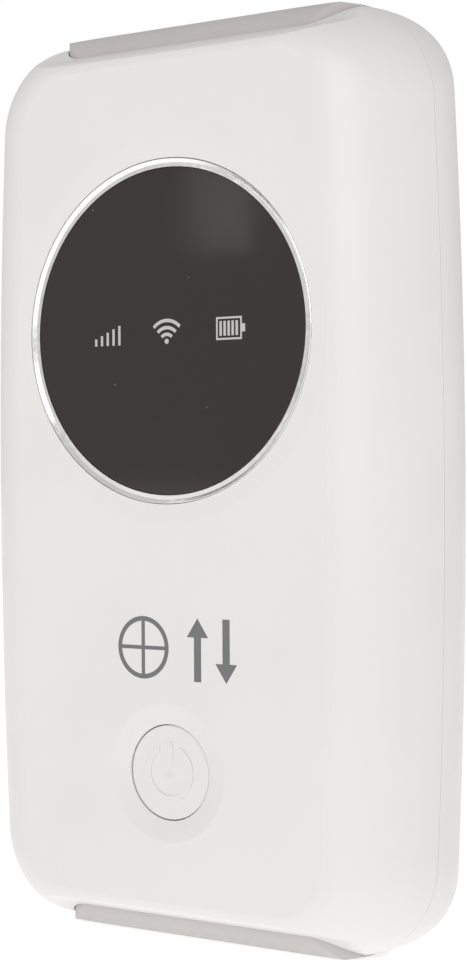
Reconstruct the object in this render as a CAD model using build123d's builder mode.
"""Mobile hotspot: a pocket router with a round status display, standing on its lower end.

Millimetres. X is the width, the display faces -Y, +Z is up. The origin is under the middle
of the foot, half way through the thickness.
"""

import os
from math import asin, cos, radians, sin

from build123d import *

os.makedirs("parts", exist_ok=True)

# Body
HEIGHT = 98.5
HALF_W = 28.4
HALF_H = 49.5
HALF_T = 10.7
MID_Z = HEIGHT / 2
SIDE_ROLL = 8.6
END_ROLL = 5.4
ROLL_POWER = 1.74
CORNER = 10.6
BACK_SQUARING = 2.2
BACK_BLEND = 0.45
SIDE_BOW = 1.05
END_BOW = 0.25
WALL = 1.6
PARTING_Y = -1.8
SEAM = 0.05

# Ends. Heights are from the body's middle. END_PROFILE runs from mid-thickness to the faces as
# (distance, height), and SCALLOP_CORNER is a quarter of the end opening, seen from above
SCALLOP_Z = 44.0
SCALLOP_HALF_X = 20.0
SCALLOP_HALF_Y = 6.4
CAP_BASE_Z = 44.5
CAP_TOP_Z = HEIGHT / 2
CAP_GAP = 0.12
FOOT_HALF_X = 12.0
FOOT_HALF_Y = 3.6
END_PROFILE = (
    (0, 49.1),
    (1.5, 48.95),
    (3.0, 48.5),
    (4.8, 47.6),
    (6.4, 46.6),
    (8.0, 46.0),
    (9.5, 45.5),
    (10.5, 44.9),
    (11.2, 44.2),
)
SCALLOP_CORNER = (
    (13.5, -6.4),
    (15.4, -6.1),
    (17.1, -5.0),
    (18.6, -3.0),
    (19.6, -1.3),
    (SCALLOP_HALF_X, 0),
)

# Display
DISPLAY_Z = 65.05
LENS_R = 17.16
BEZEL_R = 18.04
DISPLAY_HOLE_R = 18.12
BEZEL_FLAT_Y = -10.25
LEDGE_Y = -8.9
LEDGE_R = 15.4
ICON_X = (-7.8, 0.0, 8.1)

# Power button
BUTTON_Z = 18.8
BUTTON_R = 4.97
BUTTON_HOLE_R = 5.07
BUTTON_FACE_Y = -10.15
DISH_R = 7.3

# Inside stack, front to back
BOARD_FRONT_Y = -5.2
BOARD_BACK_Y = -4.2
FRAME_FRONT_Y = -1.6
FRAME_BACK_Y = -0.6

# Battery and its bay
BATTERY_HALF_W = 20.8
BATTERY_Z0 = 25.2
BATTERY_Z1 = 84.2
BATTERY_FRONT_Y = -0.25
BATTERY_BACK_Y = 8.3

# Charging port, SIM slot, reset key and battery contacts
USB_Y = -1.9
SIM_Z0 = 11.6
SIM_Z1 = 22.8
RESET_X = 13.0
RESET_Z = 16.5
CONTACT_X = (9.4, 12.4, 15.4)

# Screws
CASE_SCREWS = ((-18.8, 8.25), (18.8, 8.25), (-18.8, 90.25), (18.8, 90.25))
CAP_SCREWS = ((-12.0, 8.05), (12.0, 8.05), (-12.0, 90.45), (12.0, 90.45))
BOARD_SCREWS = ((-19.6, 49.0), (19.6, 49.0))


def face_plane(y):
    """A plane parallel to the display, whose normal points to the front."""
    return Plane(origin=(0, y, 0), x_dir=(1, 0, 0), z_dir=(0, -1, 0))


def spin_plane(x, z):
    """A plane through an axis along Y at (x, z): local x is the radius, local y is Y."""
    return Plane(origin=(x, 0, z), x_dir=(1, 0, 0), z_dir=(0, 0, 1))


def block(x0, x1, y0, y1, z0, z1, corner=0.0, mode=Mode.ADD):
    """A box between two corners, with its edges along Y rounded."""
    with BuildSketch(face_plane(y1)) as profile:
        with Locations(((x0 + x1) / 2, (z0 + z1) / 2)):
            if corner > 0:
                RectangleRounded(x1 - x0, z1 - z0, corner)
            else:
                Rectangle(x1 - x0, z1 - z0)
    extrude(profile.sketch, amount=y1 - y0, mode=mode)


def rod(centres, radius, y0, y1, mode=Mode.ADD):
    """Round bars along Y at the given (x, z) centres."""
    with BuildSketch(face_plane(y1)) as profile:
        with Locations(*centres):
            Circle(radius)
    extrude(profile.sketch, amount=y1 - y0, mode=mode)


def outline(half_w, half_h, corner):
    """Bowed rounded rectangle, as seen from the front, centred on the local origin."""
    side_z = half_h - corner
    side_x = half_w - SIDE_BOW * (side_z / 40.7) ** 2
    top_x = side_x - corner
    top_z = half_h - END_BOW * (top_x / 18.0) ** 2
    side_z = top_z - corner
    bow = half_w - side_x
    side_tilt = asin(2 * bow * side_z / (side_z**2 + bow**2))
    sag = half_h - top_z
    top_tilt = asin(2 * sag * top_x / (top_x**2 + sag**2))
    reach = 0.5523 * corner
    side_pull = (side_x - reach * sin(side_tilt), side_z + reach * cos(side_tilt))
    top_pull = (top_x + reach * cos(top_tilt), top_z - reach * sin(top_tilt))
    with BuildLine() as loop:
        ThreePointArc((side_x, -side_z), (half_w, 0), (side_x, side_z))
        Bezier((side_x, side_z), side_pull, top_pull, (top_x, top_z))
        ThreePointArc((top_x, top_z), (0, half_h), (-top_x, top_z))
        Bezier(
            (-top_x, top_z),
            (-top_pull[0], top_pull[1]),
            (-side_pull[0], side_pull[1]),
            (-side_x, side_z),
        )
        ThreePointArc((-side_x, side_z), (-half_w, 0), (-side_x, -side_z))
        Bezier(
            (-side_x, -side_z),
            (-side_pull[0], -side_pull[1]),
            (-top_pull[0], -top_pull[1]),
            (-top_x, -top_z),
        )
        ThreePointArc((-top_x, -top_z), (0, -half_h), (top_x, -top_z))
        Bezier(
            (top_x, -top_z),
            (top_pull[0], -top_pull[1]),
            (side_pull[0], -side_pull[1]),
            (side_x, -side_z),
        )
    make_face(loop.edges())


def pillow(shrink):
    """The body form, flat in front and behind with rolled edges, drawn in by shrink."""
    half_t = HALF_T - shrink
    sections = []
    for angle in (0, 7, 15, 24, 34, 45, 58, 73, 90, 107, 122, 135, 146, 156, 165, 173, 180):
        level = -cos(radians(angle))
        inset = 1 - (1 - abs(level) ** ROLL_POWER) ** (1 / ROLL_POWER)
        side_inset = (SIDE_ROLL - 0.75 * shrink) * inset
        end_inset = (END_ROLL - 0.5 * shrink) * inset
        corner = CORNER - 0.9 * shrink - 0.375 * (side_inset + end_inset)
        corner -= BACK_SQUARING * min(1.0, max(0.0, level) / BACK_BLEND)
        place = Plane(origin=(0, half_t * level, MID_Z), x_dir=(1, 0, 0), z_dir=(0, -1, 0))
        with BuildSketch(place) as section:
            outline(
                HALF_W - shrink - side_inset,
                HALF_H - 1.6 * shrink - end_inset,
                corner,
            )
        sections.append(section.sketch)
    loft(sections)


def parting_loop(outer_inset, inner_inset, y0, y1, mode):
    """A band that follows the body's outline at the parting line."""
    place = Plane(origin=(0, y1, MID_Z), x_dir=(1, 0, 0), z_dir=(0, -1, 0))
    with BuildSketch(place) as outer:
        outline(HALF_W - outer_inset, HALF_H - outer_inset, CORNER - outer_inset)
    with BuildSketch(place) as inner:
        outline(HALF_W - inner_inset, HALF_H - inner_inset, CORNER - inner_inset)
    extrude(outer.sketch - inner.sketch, amount=y1 - y0, mode=mode)


def scallop(inset):
    """The opening in an end of the shells, seen from above, drawn in by inset."""
    x_scale = 1 - inset / SCALLOP_HALF_X
    y_scale = 1 - inset / SCALLOP_HALF_Y
    quarter = [(x * x_scale, y * y_scale) for x, y in SCALLOP_CORNER]
    side = quarter + [(x, -y) for x, y in reversed(quarter[:-1])]
    far_side = [(-x, y) for x, y in reversed(side)]
    with BuildLine() as loop:
        Line(far_side[-1], side[0])
        Spline(*side)
        Line(side[-1], far_side[0])
        Spline(*far_side)
    make_face(loop.edges())


# The two forms that the shells are cut from
with BuildPart() as outer_form:
    pillow(0)
    for end in (1, -1):
        back_half = [(y, MID_Z + end * z) for y, z in END_PROFILE]
        front_half = [(-y, z) for y, z in reversed(back_half[1:])]
        edge_y = back_half[-1][0]
        edge_z = back_half[-1][1]
        with BuildSketch(Plane.YZ.offset(-30)):
            with BuildLine():
                Spline(*front_half, *back_half)
                Line((edge_y, edge_z), (edge_y, MID_Z + end * 53))
                Line((edge_y, MID_Z + end * 53), (-edge_y, MID_Z + end * 53))
                Line((-edge_y, MID_Z + end * 53), (-edge_y, edge_z))
            make_face()
        extrude(amount=60, mode=Mode.SUBTRACT)

with BuildPart() as inner_form:
    pillow(WALL)

# Both scallops as one cutter
with BuildPart() as scallop_form:
    with BuildSketch(Plane.XY.offset(MID_Z + SCALLOP_Z)):
        scallop(0)
    extrude(amount=10)
    with BuildSketch(Plane.XY.offset(MID_Z - SCALLOP_Z)):
        scallop(0)
    extrude(amount=-10)

# Front shell: display seat, button dish, screw bosses and a locating lip for the back cover
with BuildPart() as front_shell:
    add(outer_form.part)
    add(inner_form.part, mode=Mode.SUBTRACT)
    split(bisect_by=face_plane(PARTING_Y), keep=Keep.TOP)
    parting_loop(0.95, 2.05, PARTING_Y - 0.4, PARTING_Y + 1.2, Mode.ADD)
    rod([(0, DISPLAY_Z)], 20.4, -9.4, -7.9)
    rod([(0, BUTTON_Z)], 7.6, -9.4, -8.9)
    rod(CASE_SCREWS, 2.1, -9.4, FRAME_FRONT_Y - 0.05)
    rod([(0, DISPLAY_Z)], DISPLAY_HOLE_R, -11, LEDGE_Y, Mode.SUBTRACT)
    rod([(0, DISPLAY_Z)], LEDGE_R, -9, -7.8, Mode.SUBTRACT)
    rod([(0, BUTTON_Z)], BUTTON_HOLE_R, -11, -8.8, Mode.SUBTRACT)
    rod(CASE_SCREWS, 0.62, -7.6, 0, Mode.SUBTRACT)
    with BuildSketch(spin_plane(0, BUTTON_Z)):
        with BuildLine():
            Line((0, -11), (DISH_R, -11))
            Line((DISH_R, -11), (DISH_R, -HALF_T))
            ThreePointArc((DISH_R, -HALF_T), (5.9, -10.42), (4.6, -10.1))
            Line((4.6, -10.1), (0, -10.1))
            Line((0, -10.1), (0, -11))
        make_face()
    revolve(axis=Axis((0, 0, BUTTON_Z), (0, 1, 0)), mode=Mode.SUBTRACT)
    with BuildSketch(spin_plane(0, DISPLAY_Z)):
        with BuildLine():
            Polyline((17, -11), (20.2, -11), (20.2, -10.7), (18.1, -10.6), (17, -10.6), (17, -11))
        make_face()
    revolve(axis=Axis((0, 0, DISPLAY_Z), (0, 1, 0)), mode=Mode.SUBTRACT)
    add(scallop_form.part, mode=Mode.SUBTRACT)
front_shell.part.label = "front_shell"
export_step(front_shell.part, "parts/front_shell.step")

# Back cover: the rest of the body, grooved over the front shell's lip, with a nail notch
with BuildPart() as back_cover:
    add(outer_form.part)
    add(inner_form.part, mode=Mode.SUBTRACT)
    split(bisect_by=face_plane(PARTING_Y + SEAM), keep=Keep.BOTTOM)
    parting_loop(0.75, 2.4, PARTING_Y - 0.2, PARTING_Y + 1.5, Mode.SUBTRACT)
    with BuildSketch(Plane.XY.offset(MID_Z - 46.0)):
        with Locations((-22.6, PARTING_Y + 0.4)):
            Rectangle(3.4, 0.8)
    extrude(amount=-4, mode=Mode.SUBTRACT)
    add(scallop_form.part, mode=Mode.SUBTRACT)
back_cover.part.label = "back_cover"
export_step(back_cover.part, "parts/back_cover.step")


def cap_form(end):
    """An end cap without its openings: the scallop's outline under a roof-shaped crest."""
    with BuildSketch(Plane.XY.offset(MID_Z + end * CAP_BASE_Z)) as plan:
        scallop(CAP_GAP)
    extrude(plan.sketch, amount=end * 6)
    crest = MID_Z + end * CAP_TOP_Z
    rim = MID_Z + end * 46.6
    base = MID_Z + end * 44
    with BuildSketch(Plane.YZ.offset(-25)) as roof:
        with BuildLine():
            Line((-7, base), (-7, rim))
            Line((-7, rim), (-6.2, rim))
            ThreePointArc((-6.2, rim), (-5.2, MID_Z + end * 48.3), (-FOOT_HALF_Y, crest))
            Line((-FOOT_HALF_Y, crest), (FOOT_HALF_Y, crest))
            ThreePointArc((FOOT_HALF_Y, crest), (5.2, MID_Z + end * 48.3), (6.2, rim))
            Line((6.2, rim), (7, rim))
            Line((7, rim), (7, base))
            Line((7, base), (-7, base))
        make_face()
    extrude(roof.sketch, amount=50, mode=Mode.INTERSECT)
    shoulder = MID_Z + end * 48.95
    foot = MID_Z + end * 47.4
    with BuildSketch(face_plane(12)) as front:
        with BuildLine():
            Line((-20.4, base), (-20.4, foot))
            ThreePointArc((-20.4, foot), (-20.0, MID_Z + end * 48.45), (-19.0, shoulder))
            Spline((-19.0, shoulder), (-15.6, MID_Z + end * 49.14), (-FOOT_HALF_X, crest))
            Line((-FOOT_HALF_X, crest), (FOOT_HALF_X, crest))
            Spline((FOOT_HALF_X, crest), (15.6, MID_Z + end * 49.14), (19.0, shoulder))
            ThreePointArc((19.0, shoulder), (20.0, MID_Z + end * 48.45), (20.4, foot))
            Line((20.4, foot), (20.4, base))
            Line((20.4, base), (-20.4, base))
        make_face()
    extrude(front.sketch, amount=24, mode=Mode.INTERSECT)


def cap_inside(end):
    """The hollow behind an end cap and the two ears that are screwed to the frame."""
    with BuildSketch(Plane.XY.offset(MID_Z + end * 44)) as hollow:
        with Locations((0, -0.7)):
            RectangleRounded(28, 9.4, 1.5)
    extrude(hollow.sketch, amount=end * 2.35, mode=Mode.SUBTRACT)
    for side in (-1, 1):
        z_near = MID_Z + end * 38.6
        z_far = MID_Z + end * 45.6
        block(
            side * 12 - 2.6,
            side * 12 + 2.6,
            FRAME_BACK_Y,
            FRAME_BACK_Y + 1.2,
            min(z_near, z_far),
            max(z_near, z_far),
        )
        block(
            side * 12 - 2.6,
            side * 12 + 2.6,
            FRAME_BACK_Y,
            5.4,
            min(MID_Z + end * CAP_BASE_Z, z_far),
            max(MID_Z + end * CAP_BASE_Z, z_far),
        )
    rod(CAP_SCREWS, 0.9, FRAME_BACK_Y - 1, FRAME_BACK_Y + 3, Mode.SUBTRACT)


with BuildPart() as top_end_cap:
    cap_form(1)
    cap_inside(1)
top_end_cap.part.label = "top_end_cap"
export_step(top_end_cap.part, "parts/top_end_cap.step")

# The bottom cap carries the charging port in a shallow recess
with BuildPart() as bottom_end_cap:
    cap_form(-1)
    cap_inside(-1)
    with BuildSketch(Plane.XY):
        RectangleRounded(10.6, 7.0, 1.2)
    extrude(amount=0.5, mode=Mode.SUBTRACT)
    with BuildSketch(Plane.XY):
        with Locations((0, USB_Y)):
            RectangleRounded(8.1, 3.1, 0.9)
    extrude(amount=6, mode=Mode.SUBTRACT)
bottom_end_cap.part.label = "bottom_end_cap"
export_step(bottom_end_cap.part, "parts/bottom_end_cap.step")

# Display: bright bezel with a sloped outer wall, smoked lens, tape, diffuser and light shroud
with BuildPart() as display_bezel:
    with BuildSketch(spin_plane(0, DISPLAY_Z)):
        with BuildLine():
            Polyline(
                (BEZEL_R, LEDGE_Y - 0.02),
                (BEZEL_R, -10.56),
                (BEZEL_R - 0.06, -10.6),
                (17.62, BEZEL_FLAT_Y),
                (LENS_R + 0.04, BEZEL_FLAT_Y),
                (LENS_R + 0.04, LEDGE_Y - 0.02),
                (BEZEL_R, LEDGE_Y - 0.02),
            )
        make_face()
    revolve(axis=Axis((0, 0, DISPLAY_Z), (0, 1, 0)))
display_bezel.part.label = "display_bezel"
export_step(display_bezel.part, "parts/display_bezel.step")

with BuildPart() as display_lens:
    rod([(0, DISPLAY_Z)], LENS_R, BEZEL_FLAT_Y - 0.02, -9.07)
    chamfer(display_lens.faces().sort_by(Axis.Y)[0].edges(), 0.06)
display_lens.part.label = "display_lens"
export_step(display_lens.part, "parts/display_lens.step")

with BuildPart() as lens_tape_ring:
    rod([(0, DISPLAY_Z)], 17.0, -9.07, LEDGE_Y)
    rod([(0, DISPLAY_Z)], 15.7, -9.2, -8.8, Mode.SUBTRACT)
lens_tape_ring.part.label = "lens_tape_ring"
export_step(lens_tape_ring.part, "parts/lens_tape_ring.step")

with BuildPart() as icon_diffuser:
    rod([(0, DISPLAY_Z)], 15.0, -9.04, -8.74)
icon_diffuser.part.label = "icon_diffuser"
export_step(icon_diffuser.part, "parts/icon_diffuser.step")

with BuildPart() as light_shroud:
    block(-13.2, 13.2, -8.7, BOARD_FRONT_Y, DISPLAY_Z - 4.2, DISPLAY_Z + 4.2, 1.0)
    for icon_x in ICON_X:
        z0 = DISPLAY_Z - 2.9
        z1 = DISPLAY_Z + 2.9
        block(icon_x - 3.2, icon_x + 3.2, -9, BOARD_FRONT_Y + 0.5, z0, z1, 0.8, Mode.SUBTRACT)
light_shroud.part.label = "light_shroud"
export_step(light_shroud.part, "parts/light_shroud.step")

with BuildPart() as status_leds:
    for icon_x in ICON_X:
        for step_x in (-1.3, 1.3):
            x0 = icon_x + step_x - 0.8
            z0 = DISPLAY_Z - 0.4
            block(x0, x0 + 1.6, BOARD_FRONT_Y - 0.6, BOARD_FRONT_Y, z0, z0 + 0.8)
status_leds.part.label = "status_leds"
export_step(status_leds.part, "parts/status_leds.step")

# Power button: cap in a dished hole, with a raised power symbol, a flange and a stem
with BuildPart() as power_button:
    with BuildSketch(spin_plane(0, BUTTON_Z)):
        with BuildLine():
            Line((0, BUTTON_FACE_Y - 0.06), (0, -6.98))
            Polyline(
                (0, -6.98), (1.5, -6.98), (1.5, -8.2), (6.0, -8.2), (6.0, -8.8), (BUTTON_R, -8.8)
            )
            Line((BUTTON_R, -8.8), (BUTTON_R, BUTTON_FACE_Y + 0.12))
            ThreePointArc(
                (BUTTON_R, BUTTON_FACE_Y + 0.12),
                (BUTTON_R - 0.06, BUTTON_FACE_Y + 0.03),
                (BUTTON_R - 0.2, BUTTON_FACE_Y),
            )
            Line((BUTTON_R - 0.2, BUTTON_FACE_Y), (0, BUTTON_FACE_Y - 0.06))
        make_face()
    revolve(axis=Axis((0, 0, BUTTON_Z), (0, 1, 0)))
    with BuildSketch(face_plane(BUTTON_FACE_Y + 0.05)):
        with Locations((0, BUTTON_Z)):
            Circle(3.0)
            Circle(2.45, mode=Mode.SUBTRACT)
        with Locations((0, BUTTON_Z + 2.2)):
            Rectangle(2.6, 2.6, mode=Mode.SUBTRACT)
        with Locations((0, BUTTON_Z + 1.9)):
            RectangleRounded(0.7, 2.6, 0.3)
    extrude(amount=0.17)
power_button.part.label = "power_button"
export_step(power_button.part, "parts/power_button.step")

with BuildPart() as switch_plunger:
    rod([(0, BUTTON_Z)], 1.0, -6.95, -5.85)
switch_plunger.part.label = "switch_plunger"
export_step(switch_plunger.part, "parts/switch_plunger.step")

with BuildPart() as power_switch:
    block(-2.6, 2.6, -6.4, BOARD_FRONT_Y, BUTTON_Z - 2.6, BUTTON_Z + 2.6, 0.3)
    rod([(0, BUTTON_Z)], 1.08, -7, -5.4, Mode.SUBTRACT)
power_switch.part.label = "power_switch"
export_step(power_switch.part, "parts/power_switch.step")

# Main board with a tongue for the port and clearance round the case bosses
with BuildPart() as main_board:
    block(-22.4, 22.4, BOARD_FRONT_Y, BOARD_BACK_Y, 12.2, 86.4, 1.5)
    block(-7.0, 7.0, BOARD_FRONT_Y, BOARD_BACK_Y, 3.2, 13.0)
    rod(BOARD_SCREWS, 0.9, BOARD_FRONT_Y - 1, BOARD_BACK_Y + 1, Mode.SUBTRACT)
main_board.part.label = "main_board"
export_step(main_board.part, "parts/main_board.step")


def shield_can(x0, x1, z0, z1):
    """A thin metal lid over a group of chips on the back of the board."""
    block(x0, x1, BOARD_BACK_Y, BOARD_BACK_Y + 1.6, z0, z1, 0.4)
    block(
        x0 + 0.2,
        x1 - 0.2,
        BOARD_BACK_Y - 0.1,
        BOARD_BACK_Y + 1.4,
        z0 + 0.2,
        z1 - 0.2,
        0.3,
        Mode.SUBTRACT,
    )


with BuildPart() as modem_shield:
    shield_can(-18.5, 0.5, 53.0, 78.0)
modem_shield.part.label = "modem_shield"
export_step(modem_shield.part, "parts/modem_shield.step")

with BuildPart() as radio_shield:
    shield_can(2.5, 19.0, 56.0, 78.0)
radio_shield.part.label = "radio_shield"
export_step(radio_shield.part, "parts/radio_shield.step")

with BuildPart() as modem_chip:
    block(-15.5, -3.5, BOARD_BACK_Y, BOARD_BACK_Y + 1.1, 64.0, 76.0)
modem_chip.part.label = "modem_chip"
export_step(modem_chip.part, "parts/modem_chip.step")

with BuildPart() as memory_chip:
    block(-13.5, -5.5, BOARD_BACK_Y, BOARD_BACK_Y + 0.9, 54.5, 62.0)
memory_chip.part.label = "memory_chip"
export_step(memory_chip.part, "parts/memory_chip.step")

with BuildPart() as wifi_chip:
    block(5.0, 12.0, BOARD_BACK_Y, BOARD_BACK_Y + 0.9, 68.0, 75.0)
wifi_chip.part.label = "wifi_chip"
export_step(wifi_chip.part, "parts/wifi_chip.step")

with BuildPart() as power_amplifiers:
    block(5.0, 9.0, BOARD_BACK_Y, BOARD_BACK_Y + 0.8, 58.5, 63.5)
    block(12.0, 16.0, BOARD_BACK_Y, BOARD_BACK_Y + 0.8, 58.5, 63.5)
power_amplifiers.part.label = "power_amplifiers"
export_step(power_amplifiers.part, "parts/power_amplifiers.step")

with BuildPart() as charging_chip:
    block(4.0, 9.0, BOARD_BACK_Y, BOARD_BACK_Y + 0.9, 18.0, 23.0)
charging_chip.part.label = "charging_chip"
export_step(charging_chip.part, "parts/charging_chip.step")

with BuildPart() as thermal_pad:
    block(-17.0, -1.0, BOARD_BACK_Y + 1.6, FRAME_FRONT_Y, 56.0, 76.0, 0.5)
thermal_pad.part.label = "thermal_pad"
export_step(thermal_pad.part, "parts/thermal_pad.step")

# Charging port: a folded metal shell round a plastic tongue, open towards the foot
with BuildPart() as usb_port_shell:
    with BuildSketch(Plane.XY.offset(0.9)):
        with Locations((0, USB_Y)):
            RectangleRounded(7.5, 2.5, 0.7)
    extrude(amount=5.6)
    with BuildSketch(Plane.XY.offset(0.9)):
        with Locations((0, USB_Y)):
            RectangleRounded(6.9, 1.9, 0.5)
    extrude(amount=5.0, mode=Mode.SUBTRACT)
    for side in (-1, 1):
        leg_x = sorted((side * 3.45, side * 3.75))
        block(*leg_x, BOARD_BACK_Y, USB_Y, 3.6, 5.1)
usb_port_shell.part.label = "usb_port_shell"
export_step(usb_port_shell.part, "parts/usb_port_shell.step")

with BuildPart() as usb_port_tongue:
    block(-1.9, 1.9, USB_Y + 0.1, USB_Y + 0.7, 1.6, 5.9)
    block(-2.9, 2.9, USB_Y - 0.9, USB_Y + 0.9, 5.0, 5.9)
usb_port_tongue.part.label = "usb_port_tongue"
export_step(usb_port_tongue.part, "parts/usb_port_tongue.step")

# Frame: a plate between board and battery, with walls that hold both
with BuildPart() as inner_frame:
    block(-21.4, 21.4, FRAME_FRONT_Y, FRAME_BACK_Y, 6.0, 92.5, 2.0)
    block(-23.7, 23.7, FRAME_FRONT_Y, FRAME_BACK_Y, 16.0, 82.5, 1.0)
    for side in (-1, 1):
        wall_x = sorted((side * 22.8, side * 23.7))
        block(*wall_x, -5.4, FRAME_FRONT_Y, 17.5, 81.0)
        bay_x = sorted((side * 21.4, side * 22.6))
        block(*bay_x, FRAME_BACK_Y, 6.0, 23.8, 81.0)
    block(-21.4, 21.4, FRAME_BACK_Y, 3.4, 84.6, 85.8)
    block(-21.4, 6.0, FRAME_BACK_Y, 2.6, 23.8, 24.8)
    rod(BOARD_SCREWS, 1.9, BOARD_BACK_Y, FRAME_FRONT_Y)
    block(-5.2, 5.2, FRAME_FRONT_Y - 1, FRAME_BACK_Y + 1, 5.0, 10.4, 0, Mode.SUBTRACT)
    rod(BOARD_SCREWS, 0.6, -4.3, -1.9, Mode.SUBTRACT)
    rod(CASE_SCREWS, 0.9, -3, 1, Mode.SUBTRACT)
    rod(CAP_SCREWS, 0.6, -3, 1, Mode.SUBTRACT)
inner_frame.part.label = "inner_frame"
export_step(inner_frame.part, "parts/inner_frame.step")


def screw(centres, head_y, tip_y, shank_r, head_r):
    """Pan-head screws along Y whose heads face away from their tips."""
    toward = 1 if tip_y > head_y else -1
    under_head = head_y + toward * 0.6
    rod(centres, head_r, min(head_y, under_head), max(head_y, under_head))
    rod(centres, shank_r, min(under_head, tip_y), max(under_head, tip_y))
    drive = head_y + toward * 0.35
    for angle in (0, 90):
        with BuildSketch(face_plane(max(head_y - toward * 0.1, drive))) as slot:
            with Locations(*centres):
                Rectangle(head_r * 1.1, 0.3, rotation=angle)
        extrude(slot.sketch, amount=0.45, mode=Mode.SUBTRACT)


with BuildPart() as case_screws:
    screw(CASE_SCREWS, FRAME_BACK_Y + 0.6, -6.0, 0.6, 1.5)
case_screws.part.label = "case_screws"
export_step(case_screws.part, "parts/case_screws.step")

with BuildPart() as cap_screws:
    screw(CAP_SCREWS, FRAME_BACK_Y + 1.8, FRAME_FRONT_Y, 0.58, 1.4)
cap_screws.part.label = "cap_screws"
export_step(cap_screws.part, "parts/cap_screws.step")

with BuildPart() as board_screws:
    screw(BOARD_SCREWS, BOARD_FRONT_Y - 0.6, -2.1, 0.58, 1.4)
board_screws.part.label = "board_screws"
export_step(board_screws.part, "parts/board_screws.step")

# Antennas: printed foils on the frame
with BuildPart() as main_antenna:
    block(-9.0, 9.0, FRAME_BACK_Y, FRAME_BACK_Y + 0.12, 86.4, 91.6, 0.5)
main_antenna.part.label = "main_antenna"
export_step(main_antenna.part, "parts/main_antenna.step")

with BuildPart() as wifi_antenna:
    block(-23.82, -23.7, -5.0, -2.0, 36.0, 62.0)
wifi_antenna.part.label = "wifi_antenna"
export_step(wifi_antenna.part, "parts/wifi_antenna.step")

with BuildPart() as second_antenna:
    block(23.7, 23.82, -5.0, -2.0, 36.0, 66.0)
second_antenna.part.label = "second_antenna"
export_step(second_antenna.part, "parts/second_antenna.step")

# Below the battery: SIM holder and card, reset button, battery contacts
with BuildPart() as sim_holder:
    block(-19.6, -6.0, FRAME_BACK_Y, FRAME_BACK_Y + 1.7, SIM_Z0 - 0.4, SIM_Z1 + 0.4)
    block(-19.2, -5.0, FRAME_BACK_Y + 0.3, FRAME_BACK_Y + 1.4, SIM_Z0, SIM_Z1, 0, Mode.SUBTRACT)
sim_holder.part.label = "sim_holder"
export_step(sim_holder.part, "parts/sim_holder.step")

with BuildPart() as sim_card:
    with BuildSketch(face_plane(FRAME_BACK_Y + 1.2)):
        with BuildLine():
            Polyline(
                (-18.9, SIM_Z0 + 0.1),
                (-5.6, SIM_Z0 + 0.1),
                (-5.6, SIM_Z1 - 0.1),
                (-16.9, SIM_Z1 - 0.1),
                (-18.9, SIM_Z1 - 2.1),
                (-18.9, SIM_Z0 + 0.1),
            )
        make_face()
    extrude(amount=0.7)
sim_card.part.label = "sim_card"
export_step(sim_card.part, "parts/sim_card.step")

with BuildPart() as reset_switch:
    block(RESET_X - 1.6, RESET_X + 1.6, FRAME_BACK_Y, 0.5, RESET_Z - 1.6, RESET_Z + 1.6, 0.3)
    rod([(RESET_X, RESET_Z)], 0.85, -0.2, 0.6, Mode.SUBTRACT)
reset_switch.part.label = "reset_switch"
export_step(reset_switch.part, "parts/reset_switch.step")

with BuildPart() as reset_button:
    rod([(RESET_X, RESET_Z)], 0.78, 0.15, 1.0)
reset_button.part.label = "reset_button"
export_step(reset_button.part, "parts/reset_button.step")

with BuildPart() as battery_contact_block:
    block(7.6, 17.2, FRAME_BACK_Y, 4.4, 21.0, 24.0, 0.3)
    for contact_x in CONTACT_X:
        z0 = 22.6
        block(contact_x - 0.6, contact_x + 0.6, 0.4, 3.6, z0, 25, 0, Mode.SUBTRACT)
battery_contact_block.part.label = "battery_contact_block"
export_step(battery_contact_block.part, "parts/battery_contact_block.step")

with BuildPart() as battery_contact_springs:
    for contact_x in CONTACT_X:
        with BuildSketch(Plane.YZ.offset(contact_x - 0.4)):
            with BuildLine():
                Polyline(
                    (0.6, 22.6),
                    (3.4, 22.6),
                    (3.4, 22.85),
                    (1.3, 22.95),
                    (2.2, 24.95),
                    (2.0, 25.0),
                    (1.8, 24.95),
                    (0.85, 22.95),
                    (0.6, 22.85),
                    (0.6, 22.6),
                )
            make_face()
        extrude(amount=0.8)
battery_contact_springs.part.label = "battery_contact_springs"
export_step(battery_contact_springs.part, "parts/battery_contact_springs.step")

# Battery pack with flush terminals and a wrap label
with BuildPart() as battery_pack:
    block(
        -BATTERY_HALF_W,
        BATTERY_HALF_W,
        BATTERY_FRONT_Y,
        BATTERY_BACK_Y,
        BATTERY_Z0,
        BATTERY_Z1,
        1.2,
    )
    fillet(battery_pack.faces().sort_by(Axis.Y)[-1].edges(), 0.8)
    for contact_x in CONTACT_X:
        block(
            contact_x - 1.1,
            contact_x + 1.1,
            0.6,
            3.4,
            BATTERY_Z0 - 1,
            BATTERY_Z0 + 0.3,
            0,
            Mode.SUBTRACT,
        )
battery_pack.part.label = "battery_pack"
export_step(battery_pack.part, "parts/battery_pack.step")

with BuildPart() as battery_terminals:
    for contact_x in CONTACT_X:
        block(contact_x - 1.1, contact_x + 1.1, 0.6, 3.4, BATTERY_Z0 + 0.1, BATTERY_Z0 + 0.3)
battery_terminals.part.label = "battery_terminals"
export_step(battery_terminals.part, "parts/battery_terminals.step")

with BuildPart() as battery_label:
    block(-18.6, 18.6, BATTERY_BACK_Y, BATTERY_BACK_Y + 0.1, 28.0, 81.0, 1.0)
battery_label.part.label = "battery_label"
export_step(battery_label.part, "parts/battery_label.step")

# Blank rating label on the floor of the battery bay
with BuildPart() as rating_label:
    block(-17.0, 17.0, FRAME_BACK_Y, FRAME_BACK_Y + 0.08, 40.0, 72.0, 0.8)
rating_label.part.label = "rating_label"
export_step(rating_label.part, "parts/rating_label.step")
